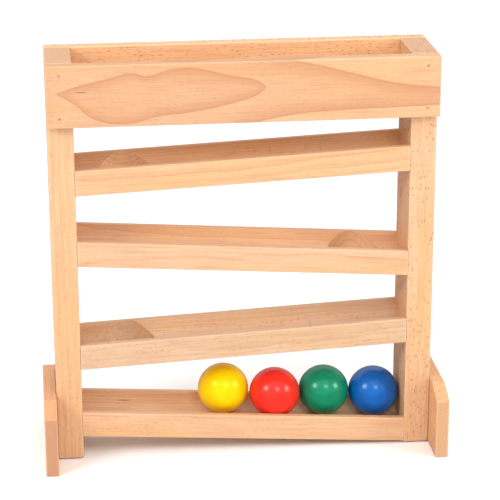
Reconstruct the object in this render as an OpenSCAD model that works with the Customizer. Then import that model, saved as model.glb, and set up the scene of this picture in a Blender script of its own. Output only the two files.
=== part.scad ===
// Wooden marble run: a free-standing beech frame with a tray on top, four grooved
// tracks that fall left and right in turn, and four painted balls.
// Millimetres. X runs along the tracks, Y from front to back, Z up from the ground.
// The origin is on the ground, in the middle of the frame.

/* [Overall] */
// Width over the outer faces of the two uprights
frame_w = 326; // [290:1:420]
// Height of the tray's rim and of the uprights above the ground
frame_h = 353; // [335:1:460]

/* [Timber] */
// Thickness of an upright, across the width of the frame
upright_t = 22; // [17:0.5:30]
// Thickness of the front and back tray boards
board_t = 12; // [8:0.5:16]
// Height of the front and back tray boards
board_h = 52; // [46:1:66]
// Thickness of the tray's floor
floor_t = 9; // [6:0.5:12]
// Height of a track bar, from its lips to its underside
track_h = 22; // [20:0.5:27]
// Radius of the eased edges of the timber
edge_r = 1.2; // [0.6:0.1:2]

/* [Balls] */
// Diameter of a ball
ball_d = 44.5; // [40:0.5:54]
// Share of the groove's side play that the red ball has taken up towards the front
red_lean = 1; // [0:0.1:1]
// Share of the groove's side play that the other balls have taken up towards the back
back_lean = 0.8; // [0:0.1:1]

/* [Grooves and holes] */
// Extra diameter of a drop hole over the ball
hole_play = 3; // [2:0.5:8]
// Timber left in front of a drop hole, and behind it
hole_wall = 5; // [3:0.5:8]
// Width of the flat lip on each side of a groove
lip_w = 5.5; // [4:0.5:8]
// Depth of a groove below its lips
groove_d = 10; // [6:0.5:12]
// Distance between the centres of the two arcs that rise from a groove's flat bottom
groove_flat = 10; // [6:1:14]
// Distance from an upright's inner face to the middle of a drop hole
hole_in = 42; // [36:1:60]

/* [Heights and falls] */
// Clearance from the ground up to the catch track's underside at its low end
catch_clear = 2; // [1:0.5:10]
// Gap from the top track's lips at mid-length up to the lower edge of the boards
top_gap = 34; // [28:0.5:45]
// Fall of the two tracks that run down to the left, from upright to upright
fall_left = 12.5; // [8:0.5:18]
// Fall of the two tracks that run down to the right, from upright to upright
fall_right = 19; // [8:0.5:20]
// Headroom between a ball at the top track's high end and the tray's floor
headroom = 3.5; // [2:0.5:6]

/* [Feet] */
// Thickness of a foot
foot_t = 11; // [8:0.5:16]
// Length of a foot, from front to back
foot_l = 125; // [110:1:160]
// Height of a foot at its flat top
foot_h = 62; // [56:1:80]
// Height of a foot's upright front and back ends
foot_end_h = 52; // [30:1:56]
// Length of a foot's flat top
foot_top_l = 79; // [60:1:100]
// How far a foot reaches below the upright
foot_drop = 1; // [0.5:0.5:2]

/* [Fixings] */
// Diameter of a track dowel
dowel_d = 8; // [6:0.5:8]
// Depth of a dowel in the end of a track
dowel_in = 20; // [12:1:30]
// Distance of a dowel from the middle of the track's depth
dowel_off = 16; // [14:0.5:18]
// Distance of a dowel's middle below the lips at the track's end
dowel_drop = 15; // [14:0.5:16]
// Diameter of a brad
brad_d = 1.8; // [1.2:0.1:2.5]
// Depth of a brad in the upright, or in the tray's floor
brad_in = 14; // [8:1:18]
// Distance of a board's brads from its upper and lower edges
brad_edge = 8; // [6:0.5:12]
// Distance of a brad's head below the surface of the board
brad_set = 0.4; // [0:0.1:1]
// Distance of a floor brad from the middle of the floor's depth
floor_brad_off = 18; // [8:1:22]
// Diameter of a foot screw's shank
screw_d = 4; // [3:0.5:5]
// Diameter of a foot screw's head
screw_head_d = 8; // [7:0.5:10]
// Depth of a foot screw in the upright
screw_in = 16; // [10:1:20]
// Heights of the two screws of a foot above the ground
screw_z = [18, 44];
// Distance of a screw's head below the outer face of the foot
screw_set = 0.3; // [0:0.1:1]
// Width of the cross slot in a screw's head
cross_w = 1.1; // [0.8:0.1:1.4]
// Depth of the cross slot in a screw's head
cross_d = 1.6; // [1:0.1:2]

/* [Clearances] */
// Gap all round a dowel, a brad or a screw in its hole
pin_play = 0.05; // [0.02:0.01:0.1]
// Gap at the inner end of a dowel, a brad or a screw
end_play = 0.5; // [0.2:0.1:1]
// Gap between a ball and what it rests against
ball_gap = 0.3; // [0.2:0.05:0.5]

/* [Hidden] */
$fn = 96;
eps = 0.01;

beech = [0.93, 0.76, 0.58];
beech_light = [0.96, 0.80, 0.62];
beech_warm = [0.89, 0.70, 0.52];
steel = [0.62, 0.60, 0.57];

// Timber: the tracks are as deep as the uprights, which leaves hole_wall at a drop hole
hole_d = ball_d + hole_play;
timber_d = hole_d + 2 * hole_wall;
inner_x = frame_w / 2 - upright_t;
span = 2 * inner_x;
hole_x = inner_x - hole_in;

// Groove: an arc on each side that ends at the lip, and a flat bottom that cuts off the
// lowest part of both arcs
arc_dip = 0.3;
arc_d = groove_d + arc_dip;
groove_half = timber_d / 2 - lip_w;
arc_w = groove_half - groove_flat / 2;
groove_r = (pow(arc_w, 2) + pow(arc_d, 2)) / (2 * arc_d);

// Tracks from the top one down: fall towards +X, and height of the lips at mid-length
catch = 3;
track_fall = [-fall_left, fall_right, -fall_left, fall_right];
function slope(i) = atan(track_fall[i] / span);
top_z = frame_h - board_h - top_gap;
catch_z = catch_clear + fall_right / 2 + track_h / cos(slope(catch));
track_pitch = (top_z - catch_z) / catch;
track_z = [for (i = [0 : catch]) top_z - i * track_pitch];
function lip_z(i, x) = track_z[i] - x * track_fall[i] / span;

// Tray: its floor clears a ball that lies under the entry hole
floor_z = lip_z(0, hole_x) - groove_d + ball_d + headroom;

// Balls, in the catch track's own frame: along the groove, across it, and above its lips
seat_r = ball_d / 2 + ball_gap;
seat_z = seat_r - groove_d;
side_play = groove_half - sqrt(pow(seat_r, 2) - pow(seat_z, 2));
ball_step = (ball_d + ball_gap) / cos(slope(catch));
last_ball_u = (inner_x - seat_r - seat_z * sin(slope(catch))) / cos(slope(catch));

// A rectangle with eased corners, centred
module eased_rect(w, h) {
    square([w - 2 * edge_r, h], center = true);
    square([w, h - 2 * edge_r], center = true);
    for (x = [-1, 1], y = [-1, 1])
        translate([x * (w / 2 - edge_r), y * (h / 2 - edge_r)]) circle(edge_r);
}

// A block with all its edges eased, centred
module eased_block(size) {
    intersection() {
        linear_extrude(size[2], center = true) eased_rect(size[0], size[1]);
        rotate([90, 0, 0]) linear_extrude(size[1], center = true) eased_rect(size[0], size[2]);
        rotate([90, 0, 90]) linear_extrude(size[0], center = true) eased_rect(size[1], size[2]);
    }
}

// A rod along X, from the outer end at x_out inwards over a length, towards -X when side is 1
module rod_x(side, x_out, length, d) {
    translate([side * x_out, 0, 0]) rotate([0, -90 * side, 0]) cylinder(d = d, h = length);
}

// Places a child at both dowels of a track's end; side is -1 at the left and 1 at the right
module at_dowels(i, side) {
    for (y = [-dowel_off, dowel_off])
        translate([0, y, lip_z(i, side * inner_x) - dowel_drop]) children();
}

// Holes for all the dowels of one upright
module dowel_holes(side) {
    for (i = [0 : catch]) at_dowels(i, side)
        rod_x(side, frame_w / 2 + 1, upright_t + 2, dowel_d + 2 * pin_play);
}

// Places a child at both board brads of an end, in the middle of the upright's thickness
module at_board_brads(side) {
    for (z = [frame_h - board_h + brad_edge, frame_h - brad_edge])
        translate([side * (frame_w - upright_t) / 2, 0, z]) children();
}

// A rod along Y into the frame from a tray board's face; face is -1 at the front, 1 at the back
module board_rod(face, set, length, d) {
    translate([0, face * (timber_d / 2 + board_t - set), 0])
        rotate([90 * face, 0, 0]) cylinder(d = d, h = length);
}

// Holes for the brads of one tray board, cut from its face into the uprights
module board_brad_holes(face) {
    for (side = [-1, 1]) at_board_brads(side)
        board_rod(face, -1, board_t + brad_in + end_play + 1, brad_d + 2 * pin_play);
}

// Places a child at both floor brads of an end
module at_floor_brads() {
    for (y = [-floor_brad_off, floor_brad_off])
        translate([0, y, floor_z + floor_t / 2]) children();
}

// Places a child at both screws of a foot
module at_screws() {
    for (z = screw_z) translate([0, 0, z]) children();
}

// Upright, from just above the ground to the tray's rim
module upright(side) {
    difference() {
        translate([side * (frame_w - upright_t) / 2, 0, (frame_h + foot_drop) / 2])
            eased_block([upright_t, timber_d, frame_h - foot_drop]);
        dowel_holes(side);
        board_brad_holes(-1);
        board_brad_holes(1);
        at_floor_brads()
            rod_x(side, frame_w / 2 + 1, upright_t + 2, brad_d + 2 * pin_play);
        at_screws()
            rod_x(side, frame_w / 2 + 1, screw_in + end_play + 1, screw_d + 2 * pin_play);
    }
}
module left_upright() { color(beech_light) upright(-1); }
module right_upright() { color(beech_light) upright(1); }

// Tray board, nailed over the faces of both uprights
module board(face) {
    difference() {
        translate([0, face * (timber_d + board_t) / 2, frame_h - board_h / 2])
            eased_block([frame_w, board_t, board_h]);
        board_brad_holes(face);
    }
}
module front_board() { color(beech) board(-1); }
module back_board() { color(beech_warm) board(1); }

// Tray floor, let in between the boards and the uprights, with the entry hole at the
// high end of the top track
module tray_floor() {
    color(beech_warm) difference() {
        translate([-inner_x, -timber_d / 2, floor_z]) cube([span, timber_d, floor_t]);
        translate([hole_x, 0, floor_z - 1]) cylinder(d = hole_d, h = floor_t + 2);
        for (side = [-1, 1]) at_floor_brads()
            rod_x(side, inner_x + 1, brad_in + end_play + 1, brad_d + 2 * pin_play);
    }
}

// Section of a track bar: Y across, its lips at 0
module track_section() {
    difference() {
        translate([0, -track_h / 2]) eased_rect(timber_d, track_h);
        intersection() {
            union() {
                for (side = [-1, 1])
                    translate([side * groove_flat / 2, groove_r - arc_d])
                        circle(groove_r, $fn = 180);
                translate([-groove_flat / 2, -arc_d - 1]) square([groove_flat, arc_d + 2]);
            }
            translate([-timber_d, -groove_d]) square([2 * timber_d, 2 * groove_d]);
        }
    }
}

// Track bar between the uprights, with its ends cut upright
module track(i) {
    reach = span + 2 * track_h;
    difference() {
        intersection() {
            translate([0, 0, track_z[i]]) rotate([0, slope(i), 0])
                rotate([90, 0, 90]) linear_extrude(reach, center = true) track_section();
            translate([-inner_x, -timber_d, 0]) cube([span, 2 * timber_d, frame_h]);
        }
        for (side = [-1, 1]) at_dowels(i, side)
            rod_x(side, inner_x + 1, dowel_in + end_play + 1, dowel_d + 2 * pin_play);
    }
}

// Track bar with a drop hole at its low end
module track_with_hole(i) {
    low = track_fall[i] > 0 ? 1 : -1;
    difference() {
        track(i);
        translate([low * hole_x, 0, track_z[i] - 2 * track_h])
            cylinder(d = hole_d, h = 3 * track_h);
    }
}
module top_track() { color(beech) track_with_hole(0); }
module second_track() { color(beech_light) track_with_hole(1); }
module third_track() { color(beech) track_with_hole(2); }
module catch_track() { color(beech_light) track(catch); }

// Foot, a plate on the outer face of an upright, with sloping shoulders
module foot(side) {
    e = foot_l / 2;
    t = foot_top_l / 2;
    difference() {
        intersection() {
            translate([side * (frame_w + foot_t) / 2, 0, 0]) rotate([90, 0, 90])
                linear_extrude(foot_t, center = true)
                    polygon([[-e, 0], [e, 0], [e, foot_end_h], [t, foot_h],
                             [-t, foot_h], [-e, foot_end_h]]);
            translate([side * (frame_w + foot_t) / 2, 0, foot_h / 2])
                eased_block([foot_t, foot_l, foot_h]);
        }
        at_screws() rod_x(side, frame_w / 2 + foot_t + 1, foot_t + 2, screw_d + 2 * pin_play);
        at_screws() countersink(side, screw_head_d + 2 * pin_play, 0);
    }
}
module left_foot() { color(beech_light) foot(-1); }
module right_foot() { color(beech_light) foot(1); }

// Cone of a screw's head, its wide end screw_set below the foot's outer face; the rest of
// the way out is a straight cylinder when inset is 0
module countersink(side, d, inset) {
    cone_h = (screw_head_d - screw_d) / 2;
    x_head = frame_w / 2 + foot_t - screw_set;
    translate([side * x_head, 0, 0]) rotate([0, -90 * side, 0]) {
        cylinder(d1 = d, d2 = d - 2 * cone_h, h = cone_h);
        if (inset == 0) translate([0, 0, -screw_set - 1]) cylinder(d = d, h = screw_set + 1 + eps);
    }
}

// Countersunk wood screw with a cross slot, from a foot's outer face into the upright
module foot_screw(side) {
    x_head = frame_w / 2 + foot_t - screw_set;
    difference() {
        union() {
            countersink(side, screw_head_d, 1);
            rod_x(side, x_head - eps, foot_t - screw_set + screw_in - eps, screw_d);
        }
        for (turn = [45, 135])
            translate([side * x_head, 0, 0]) rotate([turn, 0, 0])
                cube([2 * cross_d, screw_d, cross_w], center = true);
    }
}
module foot_screws() {
    color(steel) for (side = [-1, 1]) at_screws() foot_screw(side);
}

// Dowels through the uprights into the ends of the tracks, flush with the outer faces
module track_dowels() {
    color(beech_warm) for (i = [0 : catch], side = [-1, 1]) at_dowels(i, side)
        rod_x(side, frame_w / 2, upright_t + dowel_in, dowel_d);
}

// Brads of a tray board, set just below its face
module board_brads(face) {
    color(steel) for (side = [-1, 1]) at_board_brads(side)
        board_rod(face, brad_set, board_t - brad_set + brad_in, brad_d);
}
module front_brads() { board_brads(-1); }
module back_brads() { board_brads(1); }

// Brads through the uprights into the ends of the tray's floor
module floor_brads() {
    color(steel) for (side = [-1, 1]) at_floor_brads()
        rod_x(side, frame_w / 2 - brad_set, upright_t - brad_set + brad_in, brad_d);
}

// Ball in the catch track, counted from the right-hand upright
module ball(place, lean) {
    translate([0, 0, track_z[catch]]) rotate([0, slope(catch), 0])
        translate([last_ball_u - place * ball_step, lean * side_play, seat_z])
            sphere(d = ball_d);
}
module yellow_ball() { color([0.98, 0.84, 0.10]) ball(3, back_lean); }
module red_ball() { color([0.85, 0.12, 0.10]) ball(2, -red_lean); }
module green_ball() { color([0.05, 0.42, 0.27]) ball(1, back_lean); }
module blue_ball() { color([0.06, 0.28, 0.58]) ball(0, back_lean); }

left_upright();
right_upright();
front_board();
back_board();
tray_floor();
top_track();
second_track();
third_track();
catch_track();
left_foot();
right_foot();
yellow_ball();
red_ball();
green_ball();
blue_ball();
track_dowels();
front_brads();
back_brads();
floor_brads();
foot_screws();
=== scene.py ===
"""A wooden marble run in a plain studio: lacquered beech, gloss-painted balls and steel fixings.

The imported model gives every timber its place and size. This script dresses the timber, models
the balls, brads, screws and dowels more finely than their plain solids, and sets up the floor,
the lights and the camera. Lengths are in metres and angles in degrees unless a name says so.
"""

from __future__ import annotations

import logging
import math
from collections.abc import Callable
from dataclasses import dataclass, field
from enum import Enum

import bpy
from mathutils import Matrix, Vector

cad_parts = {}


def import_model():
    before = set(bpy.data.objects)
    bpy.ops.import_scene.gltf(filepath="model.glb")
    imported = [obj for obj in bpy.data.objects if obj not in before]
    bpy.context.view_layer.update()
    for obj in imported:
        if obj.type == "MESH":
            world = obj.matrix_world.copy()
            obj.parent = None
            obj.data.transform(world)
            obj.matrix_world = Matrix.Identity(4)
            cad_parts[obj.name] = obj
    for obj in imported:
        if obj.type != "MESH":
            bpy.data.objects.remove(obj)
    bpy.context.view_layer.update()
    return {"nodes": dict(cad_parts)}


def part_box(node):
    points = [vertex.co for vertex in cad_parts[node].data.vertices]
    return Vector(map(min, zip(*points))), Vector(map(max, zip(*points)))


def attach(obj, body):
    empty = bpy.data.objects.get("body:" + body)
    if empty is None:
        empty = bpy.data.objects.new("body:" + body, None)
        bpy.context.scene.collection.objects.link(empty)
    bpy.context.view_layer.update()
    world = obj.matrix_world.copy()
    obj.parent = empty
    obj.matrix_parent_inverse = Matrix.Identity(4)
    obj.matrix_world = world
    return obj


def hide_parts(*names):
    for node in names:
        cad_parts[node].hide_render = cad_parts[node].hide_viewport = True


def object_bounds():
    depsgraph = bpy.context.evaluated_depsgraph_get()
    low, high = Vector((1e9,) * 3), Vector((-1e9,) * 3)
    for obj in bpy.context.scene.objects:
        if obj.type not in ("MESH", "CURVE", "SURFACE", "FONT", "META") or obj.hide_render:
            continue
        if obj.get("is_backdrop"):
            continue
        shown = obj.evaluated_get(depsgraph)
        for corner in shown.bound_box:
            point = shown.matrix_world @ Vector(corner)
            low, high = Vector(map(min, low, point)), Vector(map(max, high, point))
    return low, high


LOG = logging.getLogger("marble_run")
MM = 0.001
Colour = tuple[float, float, float]
Numbers = tuple[float, ...]
Nodes = dict[str, bpy.types.Object]
Socket = bpy.types.NodeSocket
Test = Callable[[object], bool]


# ---------------------------------------------------------------------------------------------
# Material building
# ---------------------------------------------------------------------------------------------


class Recipe:
    """The nodes of one material, around a single Principled shader."""

    def __init__(self, name: str) -> None:
        """Starts an empty material.

        Args:
            name: Name of the material.
        """
        self.material = bpy.data.materials.new(name)
        self.material.use_nodes = True
        self.tree = self.material.node_tree
        self.tree.nodes.clear()
        self.shader = self.tree.nodes.new("ShaderNodeBsdfPrincipled")
        output = self.tree.nodes.new("ShaderNodeOutputMaterial")
        self.tree.links.new(self.shader.outputs["BSDF"], output.inputs["Surface"])

    def feed(self, socket: Socket, value: object) -> None:
        """Joins a socket to an output, or sets its constant.

        Args:
            socket: The input to fill.
            value: Another node's output, a number, a vector or a colour.
        """
        if isinstance(value, Socket):
            self.tree.links.new(value, socket)
        elif socket.type == "RGBA":
            socket.default_value = (*value, 1.0)
        else:
            socket.default_value = value

    def place(self) -> Socket:
        """Returns the position on the piece, in metres."""
        return self.tree.nodes.new("ShaderNodeTexCoord").outputs["Object"]

    def normal(self) -> Socket:
        """Returns the direction that the surface faces, in the piece's own frame."""
        return self.tree.nodes.new("ShaderNodeTexCoord").outputs["Normal"]

    def math(self, operation: str, *values: object, clamp: bool = False) -> Socket:
        """Adds a Math node.

        Args:
            operation: Blender's name of the operation.
            values: Its inputs, in order.
            clamp: Whether the result is kept between 0 and 1.

        Returns:
            The node's output.
        """
        node = self.tree.nodes.new("ShaderNodeMath")
        node.operation = operation
        node.use_clamp = clamp
        for socket, value in zip(node.inputs, values):
            self.feed(socket, value)
        return node.outputs["Value"]

    def vector(self, operation: str, *values: object) -> Socket:
        """Adds a Vector Math node.

        Args:
            operation: Blender's name of the operation.
            values: Its inputs, in order.

        Returns:
            The node's vector output, or its number for a dot product or a length.
        """
        node = self.tree.nodes.new("ShaderNodeVectorMath")
        node.operation = operation
        for socket, value in zip(node.inputs, values):
            self.feed(socket, value)
        return node.outputs["Value" if operation in ("DOT_PRODUCT", "LENGTH") else "Vector"]

    def split(self, vector: Socket) -> tuple[Socket, ...]:
        """Splits a vector.

        Args:
            vector: The vector.

        Returns:
            Its X, Y and Z.
        """
        node = self.tree.nodes.new("ShaderNodeSeparateXYZ")
        self.feed(node.inputs[0], vector)
        return tuple(node.outputs)

    def join(self, *values: object) -> Socket:
        """Makes a vector.

        Args:
            values: Its X, Y and Z, as numbers or outputs.

        Returns:
            The vector.
        """
        node = self.tree.nodes.new("ShaderNodeCombineXYZ")
        for socket, value in zip(node.inputs, values):
            self.feed(socket, value)
        return node.outputs[0]

    def noise(self, vector: object, detail: float = 2.0, roughness: float = 0.5) -> Socket:
        """Adds smooth noise with features about one unit long.

        Args:
            vector: Where the noise is read, already scaled.
            detail: Number of finer layers.
            roughness: Share of each finer layer.

        Returns:
            The noise, about 0.5 on average.
        """
        node = self.tree.nodes.new("ShaderNodeTexNoise")
        self.feed(node.inputs["Vector"], vector)
        node.inputs["Scale"].default_value = 1.0
        node.inputs["Detail"].default_value = detail
        node.inputs["Roughness"].default_value = roughness
        return node.outputs["Fac"]

    def grains(self, vector: object) -> tuple[Socket, Socket]:
        """Adds scattered points, one to a unit cube.

        Args:
            vector: Where they are read, already scaled.

        Returns:
            The distance to the nearest point, and a random number that belongs to it.
        """
        node = self.tree.nodes.new("ShaderNodeTexVoronoi")
        self.feed(node.inputs["Vector"], vector)
        node.inputs["Scale"].default_value = 1.0
        return node.outputs["Distance"], self.split(node.outputs["Color"])[0]

    def in_mm(self, place: object) -> Socket:
        """Turns a place in metres into millimetres.

        Args:
            place: The place.

        Returns:
            The place in millimetres.
        """
        spot = self.vector("SCALE", place)
        spot.node.inputs["Scale"].default_value = 1 / MM
        return spot

    def ease(self, value: object, low: float, high: float) -> Socket:
        """Rises smoothly from 0 to 1 from low to high, or falls if low is above high.

        Args:
            value: The value.
            low: Where the result is 0.
            high: Where the result is 1.

        Returns:
            The eased result.
        """
        node = self.tree.nodes.new("ShaderNodeMapRange")
        node.interpolation_type = "SMOOTHSTEP"
        self.feed(node.inputs["Value"], value)
        if low < high:
            node.inputs["From Min"].default_value = low
            node.inputs["From Max"].default_value = high
            return node.outputs["Result"]
        node.inputs["From Min"].default_value = high
        node.inputs["From Max"].default_value = low
        return self.math("SUBTRACT", 1.0, node.outputs["Result"])

    def blend(self, share: object, first: object, second: object) -> Socket:
        """Mixes two colours.

        Args:
            share: Share of the second colour.
            first: The first colour.
            second: The second colour.

        Returns:
            The mixed colour.
        """
        node = self.tree.nodes.new("ShaderNodeMix")
        node.data_type = "RGBA"
        self.feed(node.inputs[0], share)
        self.feed(node.inputs[6], first)
        self.feed(node.inputs[7], second)
        return node.outputs[2]

    def relief(self, height: object, depth: float, strength: float = 1.0) -> None:
        """Gives the shader a bump.

        Args:
            height: Height from 0 to 1.
            depth: Depth that a height of 1 stands for.
            strength: Strength of the bump.
        """
        node = self.tree.nodes.new("ShaderNodeBump")
        node.inputs["Strength"].default_value = strength
        node.inputs["Distance"].default_value = depth
        self.feed(node.inputs["Height"], height)
        self.tree.links.new(node.outputs["Normal"], self.shader.inputs["Normal"])

    def set(self, **constants: float) -> None:
        """Sets the shader's constants.

        Args:
            constants: Values by the socket's name, with underscores for spaces.
        """
        for name, value in constants.items():
            self.shader.inputs[name.replace("_", " ")].default_value = value


# ---------------------------------------------------------------------------------------------
# Finishes
# ---------------------------------------------------------------------------------------------


class Lay(Enum):
    """How a timber's fibres lie, as the turn that brings X along them."""

    ALONG = (0.0, 0.0, 0.0)
    UPRIGHT = (0.0, -90.0, 0.0)
    FRONT_TO_BACK = (0.0, 0.0, 90.0)


@dataclass(frozen=True)
class Streak:
    """A dark mineral streak in a timber.

    Attributes:
        place: Its middle, in millimetres from the timber's middle: along the grain, then across.
        length: Its length along the grain, in millimetres.
        width: Its width, in millimetres.
    """

    place: Numbers
    length: float = 12.0
    width: float = 1.1


@dataclass(frozen=True)
class Crown:
    """One growth ring that the saw has cut into a long island, as on flat-sawn boards.

    Attributes:
        upper: Upper outline: places along and across the grain, in millimetres.
        lower: Lower outline, between the same two ends.
        fade: How far the late wood fades inwards, in millimetres.
        face: Place in the timber's depth where the outlines are as drawn.
        depth: How much wider the island gets for each millimetre of depth.
        REACH: Farthest that an outline may lie across the grain, in millimetres.
    """

    upper: tuple[tuple[float, float], ...]
    lower: tuple[tuple[float, float], ...]
    fade: float = 9.0
    face: float = -6.0
    depth: float = 0.8

    REACH = 60.0

    def line(self, mix: Recipe, along: Socket, points: tuple) -> Socket:
        """Draws one outline.

        Args:
            mix: The material.
            along: Place along the grain.
            points: Points of the outline, from left to right.

        Returns:
            The outline's place across the grain.
        """
        start, end = points[0][0], points[-1][0]
        node = mix.tree.nodes.new("ShaderNodeFloatCurve")
        mix.feed(node.inputs["Value"], mix.math("DIVIDE", mix.math("SUBTRACT", along, start), end - start))
        curve = node.mapping.curves[0]
        while len(curve.points) < len(points):
            curve.points.new(0.5, 0.5)
        for knot, (x, z) in zip(curve.points, points):
            knot.location = ((x - start) / (end - start), z / (2 * self.REACH) + 0.5)
        node.mapping.update()
        return mix.math("MULTIPLY_ADD", node.outputs["Value"], 2 * self.REACH, -self.REACH)

    def late_wood(self, mix: Recipe, spot: Socket, wander: object) -> Socket:
        """Shades the ring just inside its outline.

        Args:
            mix: The material.
            spot: The spot in the timber.
            wander: Small wandering of the outline, in millimetres.

        Returns:
            Share of late wood.
        """
        along, inwards, across = mix.split(spot)
        above = mix.math("SUBTRACT", across, self.line(mix, along, self.upper))
        below = mix.math("SUBTRACT", self.line(mix, along, self.lower), across)
        before = mix.math("SUBTRACT", self.upper[0][0], along)
        after = mix.math("SUBTRACT", along, self.upper[-1][0])
        out = mix.math("MAXIMUM", mix.math("MAXIMUM", above, below), mix.math("MAXIMUM", before, after))
        deeper = mix.math("MULTIPLY_ADD", inwards, -self.depth, self.face * self.depth)
        out = mix.math("ADD", mix.math("ADD", out, deeper), wander)
        shade = mix.math("MULTIPLY", mix.ease(out, -self.fade, -0.8), 0.45)
        line = mix.math("MULTIPLY", mix.ease(out, -2.0, -0.5), 0.35)
        inside = mix.math("MULTIPLY", mix.ease(out, -60.0, 0.0), 0.42)
        late = mix.math("ADD", mix.math("ADD", shade, line), inside)
        return mix.math("MULTIPLY", late, mix.ease(out, 0.5, -0.5))


@dataclass(frozen=True)
class Beech:
    """Beech under a clear satin lacquer, cut from its own place in the log.

    All lengths are in millimetres in the timber's own frame: X along the grain.

    Attributes:
        name: Name of the material.
        pith: Place of the log's pith across the timber: Y, Z.
        ring: Distance between two growth rings.
        first_ring: Radius at which one growth ring ends.
        crown: Place along the grain where the rings bulge out most.
        taper: How fast the rings close in, before and after the crown.
        wander: How far the rings wander from a true circle.
        figure: Strength of the growth rings, from 0 to 1.
        fleck: Strength of the ray flecks, from 0 to 1.
        warmth: Share of the warmer, more orange tone, from 0 to 1.
        streaks: Dark mineral streaks.
        crowns: Islands that the saw has cut out of single rings.
        end_shade: How dark the end grain is, from 0 to 1.
        tone_and_painted_light: Colour that the whole timber is multiplied by. It is the timber's own tone,
            and on the back board it is painted light, which brightens the whole board so that its inner face
            in the tray looks lit.
        seed: Where the noise is read, so that no two timbers are alike.
        CROWN_ROUNDING: Rounding of the rings where they bulge out most.
    """

    name: str
    pith: tuple[float, float]
    ring: float = 3.0
    first_ring: float = 0.0
    crown: float = 0.0
    taper: tuple[float, float] = (0.02, 0.02)
    wander: float = 2.4
    figure: float = 0.5
    fleck: float = 0.5
    warmth: float = 0.3
    streaks: tuple[Streak, ...] = ()
    crowns: tuple[Crown, ...] = ()
    end_shade: float = 0.38
    tone_and_painted_light: Colour = (1.0, 1.0, 1.0)
    seed: float = 0.0

    PALE = (0.715, 0.440, 0.262)
    WARM = (0.705, 0.402, 0.192)
    ROSY = (0.660, 0.360, 0.215)
    LATE_WOOD = (0.520, 0.235, 0.108)
    RAY = (0.390, 0.180, 0.080)
    END_GRAIN = (0.500, 0.262, 0.145)
    MINERAL = (0.210, 0.085, 0.035)
    WORN = (0.760, 0.520, 0.350)
    CROWN_ROUNDING = 2.0

    def material(self, middle: Vector, turn: Numbers, half: Numbers) -> bpy.types.Material:
        """Makes the material for one timber.

        Args:
            middle: The timber's middle, in metres.
            turn: Turn of the timber's own frame, in degrees.
            half: Half of the timber's length, depth and height in its own frame, in millimetres.

        Returns:
            The material.
        """
        mix = Recipe(self.name)
        mapping = mix.tree.nodes.new("ShaderNodeMapping")
        mapping.vector_type = "TEXTURE"
        mix.feed(mapping.inputs["Vector"], mix.place())
        mapping.inputs["Location"].default_value = middle
        mapping.inputs["Rotation"].default_value = [math.radians(a) for a in turn]
        spot = mix.in_mm(mapping.outputs["Vector"])
        seeded = mix.vector("ADD", spot, (self.seed * 97.0, self.seed * 31.0, self.seed * 53.0))

        radius, arc = self._from_pith(mix, spot)
        late = self._rings(mix, spot, seeded, radius)
        ray, fine_ray = self._rays(mix, seeded, radius, arc)
        fibre = mix.noise(mix.vector("MULTIPLY", seeded, (1 / 46, 1 / 1.3, 1 / 1.3)), 3.0, 0.6)
        pores = mix.noise(mix.vector("MULTIPLY", seeded, (1 / 6, 1 / 0.35, 1 / 0.35)), 2.0, 0.6)
        cloud = mix.noise(mix.vector("MULTIPLY", seeded, (1 / 150, 1 / 24, 1 / 24)), 2.0, 0.5)
        rosy = mix.noise(mix.vector("MULTIPLY", seeded, (1 / 60, 1 / 17, 1 / 17)), 3.0, 0.55)

        tone = mix.math("ADD", mix.ease(cloud, 0.3, 0.7), self.warmth * 2 - 1, clamp=True)
        colour = mix.blend(tone, self.PALE, self.WARM)
        colour = mix.blend(mix.math("MULTIPLY", mix.ease(rosy, 0.45, 0.75), 0.55), colour, self.ROSY)
        colour = mix.blend(mix.math("MULTIPLY", late, self.figure), colour, self.LATE_WOOD)
        ragged = mix.math("MULTIPLY_ADD", cloud, 5.0, mix.math("MULTIPLY_ADD", fibre, 1.2, -3.1))
        for crown in self.crowns:
            island = mix.math("MULTIPLY", crown.late_wood(mix, spot, ragged), 0.80)
            colour = mix.blend(island, colour, self.LATE_WOOD)
        streaky = mix.math("MULTIPLY", mix.ease(fibre, 0.44, 0.68), 0.40)
        colour = mix.blend(streaky, colour, self.LATE_WOOD)
        colour = mix.blend(mix.math("MULTIPLY", mix.ease(pores, 0.52, 0.74), 0.20), colour, self.RAY)
        colour = mix.blend(mix.math("MULTIPLY", ray, 0.90 * self.fleck), colour, self.RAY)
        colour = mix.blend(mix.math("MULTIPLY", fine_ray, 0.40 * self.fleck), colour, self.RAY)
        for streak in self.streaks:
            colour = mix.blend(self._streak(mix, spot, fibre, streak), colour, self.MINERAL)
        colour = mix.blend(self._end_grain(mix, turn), colour, self.END_GRAIN)
        colour = mix.blend(mix.math("MULTIPLY", self._edges(mix, spot, half), 0.35), colour, self.WORN)
        # Multiplies the colour by the timber's tone; on the back board this factor is painted light.
        mix.feed(mix.shader.inputs["Base Color"], mix.vector("MULTIPLY", colour, self.tone_and_painted_light))

        rough = mix.math("MULTIPLY_ADD", fibre, 0.14, 0.40)
        mix.feed(mix.shader.inputs["Roughness"], mix.math("MULTIPLY_ADD", ray, -0.08, rough))
        mix.set(IOR=1.48, Specular_IOR_Level=0.42, Coat_Weight=0.12, Coat_Roughness=0.30)
        height = mix.math("MULTIPLY_ADD", pores, 0.45, mix.math("MULTIPLY", fibre, 0.55))
        height = mix.math("MULTIPLY_ADD", ray, -0.35, height)
        mix.relief(height, 0.05 * MM, 0.8)
        return mix.material

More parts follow.
